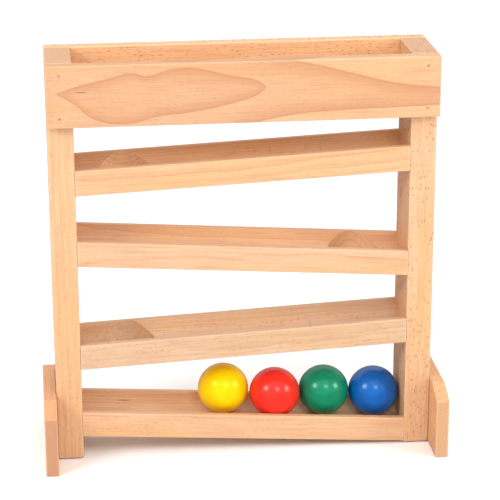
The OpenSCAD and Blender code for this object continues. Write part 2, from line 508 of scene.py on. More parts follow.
    def _from_pith(self, mix: Recipe, spot: Socket) -> tuple[Socket, ...]:
        """Measures a spot from the pith.

        Args:
            mix: The material.
            spot: The spot in the timber.

        Returns:
            Its distance from the pith, and its distance round the pith, in millimetres.
        """
        _, across, up = mix.split(spot)
        side = mix.math("SUBTRACT", across, self.pith[0])
        rise = mix.math("SUBTRACT", up, self.pith[1])
        radius = mix.vector("LENGTH", mix.join(side, rise, 0.0))
        arc = mix.math("MULTIPLY", mix.math("ARCTAN2", rise, side), math.hypot(*self.pith))
        return radius, arc

    def _rings(self, mix: Recipe, spot: Socket, seeded: Socket, radius: Socket) -> Socket:
        """Darkens each ring towards its late wood, which ends in a sharp line.

        Args:
            mix: The material.
            spot: The spot in the timber.
            seeded: The spot moved by the seed.
            radius: Distance from the pith.

        Returns:
            Share of late wood.
        """
        along = mix.math("SUBTRACT", mix.split(spot)[0], self.crown)
        before = mix.math("MULTIPLY", mix.math("MINIMUM", along, 0.0), self.taper[0])
        after = mix.math("MULTIPLY", mix.math("MAXIMUM", along, 0.0), self.taper[1])
        closing = mix.vector("LENGTH", mix.join(before, after, self.CROWN_ROUNDING))
        slow = mix.noise(mix.vector("MULTIPLY", seeded, (1 / 62, 1 / 21, 1 / 21)), 1.0, 0.5)
        quick = mix.noise(mix.vector("MULTIPLY", seeded, (1 / 17, 1 / 5, 1 / 5)), 2.0, 0.5)
        grown = mix.math("ADD", radius, mix.math("SUBTRACT", closing, self.CROWN_ROUNDING))
        grown = mix.math("ADD", grown, mix.math("MULTIPLY_ADD", slow, self.wander, -self.wander / 2))
        grown = mix.math("MULTIPLY_ADD", quick, 0.28 * self.wander, grown)
        count = mix.math("DIVIDE", mix.math("SUBTRACT", grown, self.first_ring), self.ring)
        share = mix.math("FRACT", count)
        chance = mix.tree.nodes.new("ShaderNodeTexWhiteNoise")
        chance.noise_dimensions = "1D"
        mix.feed(chance.inputs["W"], mix.math("ADD", mix.math("FLOOR", count), self.seed))
        year = mix.math("MULTIPLY_ADD", chance.outputs["Value"], 0.6, 0.4)
        soft = mix.math("MULTIPLY", mix.ease(share, 0.25, 0.92), 0.45)
        line = mix.math("MULTIPLY", mix.ease(share, 0.80, 0.95), 0.55)
        late = mix.math("MULTIPLY", mix.math("ADD", soft, line), mix.ease(share, 1.0, 0.955))
        return mix.math("MULTIPLY", late, year)

    def _rays(self, mix: Recipe, seeded: Socket, radius: Socket, arc: Socket) -> tuple[Socket, ...]:
        """Scatters the rays, thin sheets that run out from the pith.

        Args:
            mix: The material.
            seeded: The spot moved by the seed.
            radius: Distance from the pith.
            arc: Distance round the pith.

        Returns:
            The share of broad rays and of fine rays.
        """
        along = mix.split(seeded)[0]
        field_of_rays = mix.join(along, arc, radius)
        distance, chance = mix.grains(mix.vector("MULTIPLY", field_of_rays, (1 / 5.6, 1 / 1.45, 1 / 19)))
        broad = mix.math("MULTIPLY", mix.ease(distance, 0.34, 0.18), mix.ease(chance, 0.0, 0.6))
        patch = mix.noise(mix.vector("MULTIPLY", seeded, (1 / 45, 1 / 16, 1 / 16)), 1.0, 0.5)
        broad = mix.math("MULTIPLY", broad, mix.ease(patch, 0.22, 0.55))
        distance, chance = mix.grains(mix.vector("MULTIPLY", field_of_rays, (1 / 2.8, 1 / 0.75, 1 / 9)))
        fine = mix.math("MULTIPLY", mix.ease(distance, 0.36, 0.14), mix.ease(chance, 0.1, 0.9))
        return broad, fine

    def _streak(self, mix: Recipe, spot: Socket, fibre: Socket, streak: Streak) -> Socket:
        """Shades one mineral streak, ragged along the fibres.

        Args:
            mix: The material.
            spot: The spot in the timber.
            fibre: Noise drawn out along the fibres.
            streak: The streak.

        Returns:
            Share of the streak's colour.
        """
        moved = mix.vector("SUBTRACT", spot, streak.place)
        shape = (2 / streak.length, 2 / streak.width, 2 / streak.width)
        reach = mix.vector("LENGTH", mix.vector("MULTIPLY", moved, shape))
        ragged = mix.math("MULTIPLY_ADD", fibre, 1.2, mix.math("SUBTRACT", reach, 0.6))
        return mix.math("MULTIPLY", mix.ease(ragged, 1.15, 0.35), 0.8)

    def _end_grain(self, mix: Recipe, turn: Numbers) -> Socket:
        """Finds the end grain, where the surface faces along the fibres.

        Args:
            mix: The material.
            turn: Turn of the timber's own frame, in degrees.

        Returns:
            Share of end grain.
        """
        along = Vector((1, 0, 0))
        for axis, angle in zip("XYZ", turn):
            along.rotate(Matrix.Rotation(math.radians(angle), 3, axis))
        facing = mix.math("ABSOLUTE", mix.vector("DOT_PRODUCT", mix.normal(), tuple(along)))
        return mix.math("MULTIPLY", mix.ease(facing, 0.6, 0.95), self.end_shade)

    def _edges(self, mix: Recipe, spot: Socket, half: Numbers) -> Socket:
        """Wears the timber's edges, where the lacquer is thin.

        Args:
            mix: The material.
            spot: The spot in the timber.
            half: Half sizes of the timber, in millimetres.

        Returns:
            Share of wear.
        """
        near = []
        for part, size in zip(mix.split(mix.vector("ABSOLUTE", spot)), half):
            near.append(mix.ease(part, size - 1.7, size - 0.2))
        pairs = [mix.math("MULTIPLY", near[a], near[b]) for a, b in ((0, 1), (1, 2), (2, 0))]
        return mix.math("MAXIMUM", mix.math("MAXIMUM", pairs[0], pairs[1]), pairs[2])


@dataclass(frozen=True)
class GlossPaint:
    """Gloss paint on turned wood, with the grain just telling through it.

    Attributes:
        name: Name of the material.
        colour: Colour of the paint.
        shade: Colour where the paint lies thicker.
        sheen: Tint of what the paint reflects.
    """

    name: str
    colour: Colour
    shade: Colour
    sheen: Colour

    def material(self, middle: Vector) -> bpy.types.Material:
        """Makes the material for one ball.

        Args:
            middle: The ball's middle, in metres.

        Returns:
            The material.
        """
        mix = Recipe(self.name)
        spot = mix.in_mm(mix.vector("SUBTRACT", mix.place(), tuple(middle)))
        cloud = mix.noise(mix.vector("SCALE", spot), 2.0, 0.5)
        cloud.node.inputs["Scale"].default_value = 0.09
        peel = mix.noise(mix.vector("MULTIPLY", spot, (0.9, 0.9, 0.9)), 1.0, 0.4)
        grain = mix.noise(mix.vector("MULTIPLY", spot, (0.7, 0.7, 0.06)), 2.0, 0.5)
        paint = mix.blend(mix.ease(cloud, 0.35, 0.7), self.colour, self.shade)
        mix.feed(mix.shader.inputs["Base Color"], paint)
        mix.feed(mix.shader.inputs["Roughness"], mix.math("MULTIPLY_ADD", cloud, 0.08, 0.18))
        mix.set(IOR=1.50, Specular_IOR_Level=0.70)
        mix.shader.inputs["Specular Tint"].default_value = (*self.sheen, 1.0)
        mix.relief(mix.math("MULTIPLY_ADD", grain, 0.5, peel), 0.02 * MM, 0.6)
        return mix.material


@dataclass(frozen=True)
class Steel:
    """Plain steel, drawn or turned, with a thin dull film.

    Attributes:
        name: Name of the material.
        bright: Colour of clean steel.
        dull: Colour of the film.
    """

    name: str = "plain_steel"
    bright: Colour = (0.47, 0.45, 0.42)
    dull: Colour = (0.16, 0.12, 0.09)

    def material(self) -> bpy.types.Material:
        """Makes the material.

        Returns:
            The material.
        """
        mix = Recipe(self.name)
        spot = mix.in_mm(mix.place())
        film = mix.noise(spot, 3.0, 0.6)
        scratch = mix.noise(mix.vector("MULTIPLY", spot, (9.0, 9.0, 1.2)), 2.0, 0.5)
        metal = mix.blend(mix.ease(film, 0.35, 0.65), self.bright, self.dull)
        mix.feed(mix.shader.inputs["Base Color"], metal)
        mix.feed(mix.shader.inputs["Roughness"], mix.math("MULTIPLY_ADD", scratch, 0.25, 0.28))
        mix.set(Metallic=1.0)
        mix.relief(scratch, 0.02 * MM, 0.5)
        return mix.material


@dataclass(frozen=True)
class Matte:
    """Matte paper for the studio's floor.

    Attributes:
        name: Name of the material.
        colour: Its colour.
    """

    name: str = "studio_paper"
    colour: Colour = (0.96, 0.96, 0.96)

    def material(self) -> bpy.types.Material:
        """Makes the material.

        Returns:
            The material.
        """
        mix = Recipe(self.name)
        tooth = mix.noise(mix.vector("MULTIPLY", mix.place(), (400.0, 400.0, 400.0)), 2.0, 0.5)
        shade = tuple(0.985 * part for part in self.colour)
        mix.feed(mix.shader.inputs["Base Color"], mix.blend(tooth, self.colour, shade))
        mix.set(Roughness=0.95, Specular_IOR_Level=0.05)
        return mix.material


# ---------------------------------------------------------------------------------------------
# Modelling
# ---------------------------------------------------------------------------------------------


class Bench:
    """Mesh work with Blender's own tools, on one new piece at a time."""

    @staticmethod
    def clear() -> None:
        """Leaves nothing selected."""
        if bpy.context.object and bpy.context.object.mode != "OBJECT":
            bpy.ops.object.mode_set(mode="OBJECT")
        bpy.ops.object.select_all(action="DESELECT")

    @staticmethod
    def named(name: str) -> bpy.types.Object:
        """Names the piece just added.

        Args:
            name: Name of the piece.

        Returns:
            The piece.
        """
        piece = bpy.context.object
        piece.name = name
        piece.data.name = name
        return piece

    @staticmethod
    def settle(piece: bpy.types.Object) -> None:
        """Moves the piece's place into its mesh, so that its object sits at the origin.

        Args:
            piece: The piece.
        """
        piece.data.transform(piece.matrix_world)
        piece.matrix_world = Matrix.Identity(4)

    @staticmethod
    def pick(piece: bpy.types.Object, mode: str, chosen: Test) -> None:
        """Selects vertices, edges or faces by a test, and leaves edit mode on.

        Args:
            piece: The piece.
            mode: VERT, EDGE or FACE.
            chosen: Test of one vertex, edge or face.
        """
        bpy.ops.object.mode_set(mode="EDIT")
        bpy.ops.mesh.select_mode(type=mode)
        bpy.ops.mesh.select_all(action="DESELECT")
        bpy.ops.object.mode_set(mode="OBJECT")
        parts = {"VERT": piece.data.vertices, "EDGE": piece.data.edges, "FACE": piece.data.polygons}
        for part in parts[mode]:
            part.select = bool(chosen(part))
        bpy.ops.object.mode_set(mode="EDIT")

    @staticmethod
    def draw_out(piece: bpy.types.Object, depth: float) -> None:
        """Draws out the bottom face of a turned piece, and leaves edit mode on.

        Args:
            piece: The piece, whose top is at the origin.
            depth: Depth that the bottom reaches.
        """
        bottom = min(vertex.co.z for vertex in piece.data.vertices)
        Bench.pick(piece, "FACE", lambda face: face.normal.z < -0.9 and face.center.z < bottom + 1e-6)
        bpy.ops.mesh.extrude_region_move(TRANSFORM_OT_translate={"value": (0, 0, -depth - bottom)})

    @staticmethod
    def done() -> None:
        """Goes back to object mode."""
        bpy.ops.object.mode_set(mode="OBJECT")

    @staticmethod
    def smooth(piece: bpy.types.Object, angle: float = 35.0) -> None:
        """Shades the piece smooth but for its sharp edges.

        Args:
            piece: The piece.
            angle: Sharpest angle that is still shaded smooth.
        """
        Bench.clear()
        piece.select_set(True)
        bpy.context.view_layer.objects.active = piece
        bpy.ops.object.shade_smooth_by_angle(angle=math.radians(angle))

    @staticmethod
    def apply(piece: bpy.types.Object) -> None:
        """Applies all the piece's modifiers.

        Args:
            piece: The piece.
        """
        Bench.clear()
        piece.select_set(True)
        bpy.context.view_layer.objects.active = piece
        for modifier in list(piece.modifiers):
            bpy.ops.object.modifier_apply(modifier=modifier.name)

    @staticmethod
    def copy(master: bpy.types.Object, name: str, placing: Matrix) -> bpy.types.Object:
        """Copies a piece with a mesh of its own, placed in that mesh.

        Args:
            master: The piece to copy, modelled at the origin.
            name: Name of the copy.
            placing: Where the copy goes.

        Returns:
            The copy, with its object at the origin.
        """
        piece = bpy.data.objects.new(name, master.data.copy())
        piece.data.name = name
        piece.data.transform(placing)
        bpy.context.scene.collection.objects.link(piece)
        return piece

    @staticmethod
    def discard(master: bpy.types.Object) -> None:
        """Removes a master that has been copied, or a cutter that has cut."""
        bpy.data.objects.remove(master)


def dress(piece: bpy.types.Object, material: bpy.types.Material) -> None:
    """Gives a piece one material.

    Args:
        piece: The piece or CAD node.
        material: Its material.
    """
    if piece.material_slots:
        for place in piece.material_slots:
            place.material = material
    else:
        piece.data.materials.append(material)


def fit(piece: bpy.types.Object, body: str, node: str) -> None:
    """Attaches a new piece to the body that it moves with, and hides the CAD node that it stands for.

    Args:
        piece: The piece, in place.
        body: The body that it moves with.
        node: The CAD node that it replaces.
    """
    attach(piece, body)
    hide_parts(node)
    faces = len(piece.data.polygons)
    LOG.info("piece %s: %d faces, rides on %s, stands for %s", piece.name, faces, body, node)


def middle_of(node: str) -> Vector:
    """Returns the middle of a CAD node's box."""
    low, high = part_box(node)
    return (low + high) / 2


def axis_turn(direction: Vector) -> Matrix:
    """Returns the turn that brings +Z to a direction."""
    return Vector((0, 0, 1)).rotation_difference(direction).to_matrix().to_4x4()


# ---------------------------------------------------------------------------------------------
# Timber
# ---------------------------------------------------------------------------------------------


@dataclass
class Timber:
    """One plain timber, whose shape is the CAD node's own.

    Attributes:
        node: The CAD node.
        wood: How it is cut from the log.
        lay: How its fibres lie.
    """

    node: str
    wood: Beech
    lay: Lay = Lay.ALONG

    def turn(self) -> Numbers:
        """Returns the turn of the timber's own frame."""
        return self.lay.value

    def half(self) -> Numbers:
        """Measures the timber in its own frame.

        Returns:
            Half of its length, depth and height, in millimetres.
        """
        low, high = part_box(self.node)
        across = [size / 2 / MM for size in high - low]
        if self.lay is Lay.UPRIGHT:
            across = [across[2], across[1], across[0]]
        if self.lay is Lay.FRONT_TO_BACK:
            across = [across[1], across[0], across[2]]
        return tuple(across)

    def build(self, nodes: Nodes) -> None:
        """Dresses the timber.

        Args:
            nodes: The CAD nodes by name.
        """
        dress(nodes[self.node], self.wood.material(middle_of(self.node), self.turn(), self.half()))
        LOG.info("timber %s: %s", self.node, self.wood.name)


@dataclass
class Track(Timber):
    """A sloping grooved bar.

    Attributes:
        fall: How much lower its right end is than its left end.
        height: Height of the bar from its lips to its underside.
    """

    fall: float = 0.0
    height: float = 22 * MM

    def turn(self) -> Numbers:
        """Returns the turn of the bar's own frame, which follows its slope."""
        low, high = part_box(self.node)
        return (0.0, math.degrees(math.atan(self.fall / (high.x - low.x))), 0.0)

    def half(self) -> Numbers:
        """Returns half of the bar's length, depth and height, in millimetres."""
        low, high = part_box(self.node)
        return ((high.x - low.x) / 2 / MM, (high.y - low.y) / 2 / MM, self.height / 2 / MM)


@dataclass
class Tray:
    """The tray on top: two boards and a floor.

    Attributes:
        timbers: Its timbers.
    """

    timbers: list[Timber] = field(default_factory=lambda: [
        Timber("front_board", Beech(
            "beech_front_board", pith=(103.0, -1.0), ring=5.5, first_ring=2.2, crown=-60.0,
            taper=(0.02, 0.02), wander=2.6, figure=0.20, fleck=0.30, warmth=0.60,
            tone_and_painted_light=(0.955, 0.950, 0.965), seed=3.0,
            streaks=(Streak((-134.0, -6.0, 4.0), 11.0, 1.2),),
            crowns=(
                Crown(((-154, 3), (-140, 8), (-113, 14), (-92, 18.5), (-81, 16), (-62, 21), (-45, 22.5),
                       (-10, 14.5), (10, 9.5), (17, 4)),
                      ((-154, 3), (-142, -4), (-124, -18), (-99, -23), (-70, -17), (-48, -15),
                       (-5, -6.5), (11, -1.5), (17, 4))),
                Crown(((-175, 40), (-60, 44), (20, 30), (55, 23), (86, 15), (122, 5.5), (175, -1)),
                      ((-175, -40), (-60, -42), (0, -27), (40, -20), (90, -17.5), (175, -15)), 14.0),
            ))),
        Timber("back_board", Beech(
            "beech_back_board", pith=(-70.0, 14.0), ring=3.2, first_ring=1.4, crown=40.0,
            taper=(0.02, 0.03), wander=2.0, figure=0.18, fleck=1.0, warmth=0.60,
            # Painted light: the whole back board is brightened so that its inner face in the tray looks lit.
            tone_and_painted_light=(1.14, 1.14, 1.12), seed=7.0)),
        Timber("tray_floor", Beech(
            "beech_tray_floor", pith=(8.0, -60.0), ring=3.4, first_ring=0.6, crown=20.0,
            figure=0.45, fleck=0.5, warmth=0.5, seed=11.0)),
    ])

    def build(self, nodes: Nodes) -> None:
        """Dresses the tray.

        Args:
            nodes: The CAD nodes by name.
        """
        for timber in self.timbers:
            timber.build(nodes)


@dataclass
class Uprights:
    """The two uprights.

    Attributes:
        timbers: The uprights.
    """

    timbers: list[Timber] = field(default_factory=lambda: [
        Timber("left_upright", Beech(
            "beech_left_upright", pith=(48.0, -46.0), ring=3.0, first_ring=0.9, crown=60.0,
            taper=(0.012, 0.016), wander=1.6, figure=0.50, fleck=0.35, warmth=0.70, seed=13.0), Lay.UPRIGHT),
        Timber("right_upright", Beech(
            "beech_right_upright", pith=(92.0, 7.0), ring=4.4, first_ring=0.4, crown=-40.0,
            taper=(0.012, 0.012), wander=1.8, figure=0.25, fleck=1.0, warmth=0.55, seed=17.0), Lay.UPRIGHT),
    ])

    def build(self, nodes: Nodes) -> None:
        """Dresses the uprights.

        Args:
            nodes: The CAD nodes by name.
        """
        for timber in self.timbers:
            timber.build(nodes)


@dataclass
class Tracks:
    """The four grooved bars, from the top down.

    Attributes:
        fall_left: Fall of the bars that run down to the left.
        fall_right: Fall of the bars that run down to the right.
    """

    fall_left: float = 12.5 * MM
    fall_right: float = 19.0 * MM

    def build(self, nodes: Nodes) -> None:
        """Dresses the bars.

        Args:
            nodes: The CAD nodes by name.
        """
        bars = [
            Track("top_track", Beech(
                "beech_top_track", pith=(60.0, 32.0), ring=2.6, first_ring=0.5, crown=-40.0,
                taper=(0.014, 0.02), wander=1.8, figure=0.72, fleck=0.25, warmth=0.65, seed=19.0),
                fall=-self.fall_left),
            Track("second_track", Beech(
                "beech_second_track", pith=(66.0, -18.0), ring=3.6, first_ring=1.2, crown=70.0,
                taper=(0.02, 0.03), wander=2.4, figure=0.55, fleck=0.22, warmth=0.45,
                tone_and_painted_light=(0.97, 0.97, 0.98), seed=23.0),
                fall=self.fall_right),
            Track("third_track", Beech(
                "beech_third_track", pith=(74.0, 12.0), ring=3.2, first_ring=2.0, crown=30.0,
                taper=(0.02, 0.024), wander=2.2, figure=0.50, fleck=0.40, warmth=0.35,
                tone_and_painted_light=(0.89, 0.95, 1.0), seed=29.0),
                fall=-self.fall_left),
            Track("catch_track", Beech(
                "beech_catch_track", pith=(58.0, -22.0), ring=3.0, first_ring=0.2, crown=-80.0,
                taper=(0.02, 0.016), wander=2.0, figure=0.50, fleck=0.28, warmth=0.60, seed=31.0,
                streaks=(Streak((-104.0, 17.0, 4.5), 16.0, 1.6),)),
                fall=self.fall_right),
        ]
        for bar in bars:
            bar.build(nodes)


@dataclass
class Feet:
    """The two feet, whose fibres run from front to back.

    Attributes:
        timbers: The feet.
    """

    timbers: list[Timber] = field(default_factory=lambda: [
        Timber("left_foot", Beech(
            "beech_left_foot", pith=(-14.0, -30.0), ring=2.6, first_ring=0.4, wander=1.2,
            figure=0.40, fleck=0.35, warmth=0.80, end_shade=0.80,
            tone_and_painted_light=(0.95, 0.88, 0.86), seed=37.0), Lay.FRONT_TO_BACK),
        Timber("right_foot", Beech(
            "beech_right_foot", pith=(-9.0, -14.0), ring=3.0, first_ring=0.9, wander=1.2,
            figure=0.55, fleck=0.35, warmth=0.80, end_shade=0.50, seed=41.0), Lay.FRONT_TO_BACK),
    ])

    def build(self, nodes: Nodes) -> None:
        """Dresses the feet.

        Args:
            nodes: The CAD nodes by name.
        """
        for timber in self.timbers:
            timber.build(nodes)


# ---------------------------------------------------------------------------------------------
# Balls
# ---------------------------------------------------------------------------------------------


@dataclass
class Balls:
    """Four turned wooden balls, painted in gloss.

    Attributes:
        cuts: Cuts of each side of the cube that a ball is rounded from.
        pole: Half-angle of the small flat that the lathe leaves at each end.
        paints: Paint of each ball.
        tilts: Tilt of each ball's turning axis, about X and Y.
    """

    cuts: int = 27
    pole: float = 3.4
    paints: dict[str, GlossPaint] = field(default_factory=lambda: {
        "yellow": GlossPaint(
            "yellow_gloss", (0.940, 0.625, 0.003), (0.930, 0.575, 0.002), (1.00, 0.76, 0.14)),
        "red": GlossPaint(
            "red_gloss", (0.800, 0.026, 0.014), (0.760, 0.020, 0.011), (1.00, 0.52, 0.48)),
        "green": GlossPaint(
            "green_gloss", (0.002, 0.225, 0.110), (0.002, 0.200, 0.095), (0.46, 0.84, 0.68)),
        "blue": GlossPaint(
            "blue_gloss", (0.003, 0.110, 0.430), (0.003, 0.094, 0.380), (0.48, 0.68, 1.00)),
    })
    tilts: dict[str, tuple[float, float]] = field(default_factory=lambda: {
        "yellow": (-35.0, 20.0), "red": (-60.0, -25.0), "green": (-20.0, 40.0), "blue": (-75.0, 10.0),
    })

    def turn_ball(self, radius: float) -> bpy.types.Object:
        """Rounds a ball from a cube and flattens its two ends as the lathe does.

        Args:
            radius: Radius of the ball.

        Returns:
            The ball at the origin, its turning axis along Z.
        """
        Bench.clear()
        bpy.ops.mesh.primitive_cube_add(size=2 * radius)
        ball = Bench.named("ball_master")
        Bench.pick(ball, "VERT", lambda vertex: True)
        bpy.ops.mesh.subdivide(number_cuts=self.cuts)
        bpy.ops.transform.tosphere(value=1.0)
        Bench.done()
        reach = max(vertex.co.length for vertex in ball.data.vertices)
        Bench.pick(ball, "VERT", lambda vertex: True)
        bpy.ops.transform.resize(value=(radius / reach,) * 3, center_override=(0, 0, 0))
        Bench.done()
        level = radius * math.cos(math.radians(self.pole))
        for side in (-1, 1):
            Bench.pick(ball, "VERT", lambda vertex: vertex.co.z * side > level)
            bpy.ops.transform.resize(value=(1, 1, 0), center_override=(0, 0, side * level))
            Bench.done()
        Bench.smooth(ball, 60.0)
        return ball

    def build(self, nodes: Nodes) -> None:
        """Makes the four balls.

        Args:
            nodes: The CAD nodes by name.
        """
        low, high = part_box("yellow_ball")
        master = self.turn_ball((high.x - low.x) / 2)
        for colour, paint in self.paints.items():
            node = f"{colour}_ball"
            middle = middle_of(node)
            lean, roll = (math.radians(angle) for angle in self.tilts[colour])
            turned = Matrix.Rotation(roll, 4, "Y") @ Matrix.Rotation(lean, 4, "X")
            ball = Bench.copy(master, f"{node}_turned", Matrix.Translation(middle) @ turned)
            dress(ball, paint.material(middle))
            fit(ball, node, node)
        Bench.discard(master)


# ---------------------------------------------------------------------------------------------
# Fixings
# ---------------------------------------------------------------------------------------------


@dataclass
class Brads:
    """Brads, driven and punched just below the surface.

    Attributes:
        sides: Sides of the wire.
        head_round: Rounding of the head's edge.
        punch: Depth of the mark that the nail punch leaves.
        point: Length of the cut point.
    """

    sides: int = 20
    head_round: float = 0.14 * MM
    punch: float = 0.16 * MM
    point: float = 2.4 * MM

    def wire(self, radius: float, length: float) -> bpy.types.Object:
        """Models a brad whose head is at the origin and whose point is below it.

        Args:
            radius: Radius of the wire.
            length: Length over all.

        Returns:
            The brad.
        """
        Bench.clear()
        shank = length - self.point
        bpy.ops.mesh.primitive_cylinder_add(vertices=self.sides, radius=radius, depth=shank,
                                            location=(0, 0, -shank / 2))
        brad = Bench.named("brad_master")
        Bench.settle(brad)
        Bench.pick(brad, "FACE", lambda face: face.normal.z < -0.9)
        bpy.ops.mesh.extrude_region_move(TRANSFORM_OT_translate={"value": (0, 0, -self.point)})
        bpy.ops.transform.resize(value=(0.12, 0.12, 1), center_override=(0, 0, -length))
        Bench.pick(brad, "FACE", lambda face: face.normal.z > 0.9)
        bpy.ops.mesh.bevel(offset=self.head_round, segments=3, affect="EDGES")
        Bench.pick(brad, "FACE", lambda face: face.normal.z > 0.99 and len(face.vertices) > 4)
        bpy.ops.mesh.inset(thickness=0.30 * radius)
        bpy.ops.mesh.inset(thickness=0.25 * radius, depth=-self.punch)
        Bench.done()
        Bench.smooth(brad, 32.0)
        return brad

    def build(self, nodes: Nodes) -> None:
        """Makes the twelve brads.

        Args:
            nodes: The CAD nodes by name.
        """
        steel = Steel("brad_steel", (0.86, 0.64, 0.46), (0.62, 0.42, 0.27)).material()
        low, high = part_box("floor_brads")
        radius = (high.z - low.z) / 2
        for node, face in (("front_brads", -1), ("back_brads", 1)):
            low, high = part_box(node)
            master = self.wire(radius, high.y - low.y)
            out = Vector((0, face, 0))
            head = high.y if face > 0 else low.y
            places = [Vector((x, head, z)) for x in (low.x + radius, high.x - radius)
                      for z in (low.z + radius, high.z - radius)]
            self.drive(master, node, places, [out] * 4, steel)
        low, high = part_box("floor_brads")
        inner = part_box("tray_floor")[0].x
        into_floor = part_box("front_brads")[1].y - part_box("left_upright")[0].y
        master = self.wire(radius, inner - low.x + into_floor)
        places, outs = [], []
        for side, head in ((-1, low.x), (1, high.x)):
            for y in (low.y + radius, high.y - radius):
                places.append(Vector((head, y, low.z + radius)))
                outs.append(Vector((side, 0, 0)))
        self.drive(master, "floor_brads", places, outs, steel)

    def drive(self, master: bpy.types.Object, node: str, places: list[Vector], outs: list[Vector],
              steel: bpy.types.Material) -> None:
        """Copies a brad to its places.

        Args:
            master: The brad.
            node: The CAD node that the copies stand for.
            places: Place of each head.
            outs: Direction that each head faces.
            steel: The material.
        """
        for count, (place, out) in enumerate(zip(places, outs), 1):
            brad = Bench.copy(master, f"{node[:-1]}_{count}", Matrix.Translation(place) @ axis_turn(out))
            dress(brad, steel)
            fit(brad, "frame", node)
        Bench.discard(master)


@dataclass
class FootScrews:
    """Countersunk wood screws with a cross recess, two to a foot.

    Attributes:
        sides: Sides of the turned shapes.
        shank: Radius of the shank.
        cone: Height of the countersunk head.
        slot: Width of the cross recess at the top.
        slot_depth: Depth of the cross recess.
        slot_reach: Half-length of an arm of the recess.
        point: Length of the point.
        rim: Height of the upright rim of the head.
        rim_round: Rounding of the head's edge.
        grip: How far a screw reaches into the upright.
    """

    sides: int = 40
    shank: float = 2 * MM
    cone: float = 2 * MM
    slot: float = 1.1 * MM
    slot_depth: float = 1.5 * MM
    slot_reach: float = 2.0 * MM
    point: float = 3 * MM
    rim: float = 0.25 * MM
    rim_round: float = 0.12 * MM
    grip: float = 16 * MM

    def screw(self, head: float, length: float) -> bpy.types.Object:
        """Models a screw whose head is at the origin and whose point is below it.

        Args:
            head: Radius of the head.
            length: Length over all.

        Returns:
            The screw.
        """
        Bench.clear()
        bpy.ops.mesh.primitive_cylinder_add(vertices=self.sides, radius=head, depth=self.rim,
                                            location=(0, 0, -self.rim / 2))
        screw = Bench.named("screw_master")
        Bench.settle(screw)
        steps = ((self.cone, self.shank / head), (length - self.point - self.rim, 1.0), (length, 0.15))
        for depth, share in steps:
            Bench.draw_out(screw, depth)
            bpy.ops.transform.resize(value=(share, share, 1), center_override=(0, 0, -depth))
            Bench.done()
        Bench.pick(screw, "FACE", lambda face: face.normal.z > 0.9)
        bpy.ops.mesh.bevel(offset=self.rim_round, segments=2, affect="EDGES")
        Bench.done()
        for turn in (45, 135):
            self.cut(screw, turn)
        Bench.smooth(screw, 30.0)
        return screw

    def cut(self, screw: bpy.types.Object, turn: float) -> None:
        """Cuts one tapering bar of the cross recess.

        Args:
            screw: The screw.
            turn: Turn of the bar.
        """
        Bench.clear()
        bpy.ops.mesh.primitive_cube_add(size=1)
        cutter = Bench.named("recess_cutter")
        size = Matrix.Diagonal((2 * self.slot_reach, self.slot, 2 * self.slot_depth, 1))
        cutter.data.transform(Matrix.Rotation(math.radians(turn), 4, "Z") @ size)
        Bench.pick(cutter, "VERT", lambda vertex: vertex.co.z < 0)
        bpy.ops.transform.resize(value=(0.45, 0.45, 1), center_override=(0, 0, 0))
        Bench.done()
        boolean = screw.modifiers.new("recess", "BOOLEAN")
        boolean.object = cutter
        boolean.operation = "DIFFERENCE"
        Bench.apply(screw)
        Bench.discard(cutter)

    def build(self, nodes: Nodes) -> None:
        """Makes the four screws.

        Args:
            nodes: The CAD nodes by name.
        """
        steel = Steel("screw_steel", (0.56, 0.55, 0.53), (0.30, 0.28, 0.25)).material()
        low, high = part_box("foot_screws")
        head = high.y
        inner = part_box("left_upright")[0].x + self.grip
        master = self.screw(head, inner - low.x)
        count = 0
        for side, face in ((-1, low.x), (1, high.x)):
            for z in (low.z + head, high.z - head):
                count += 1
                placing = Matrix.Translation((face, 0, z)) @ axis_turn(Vector((side, 0, 0)))
                screw = Bench.copy(master, f"foot_screw_{count}", placing)
                dress(screw, steel)
                fit(screw, "frame", "foot_screws")
        Bench.discard(master)


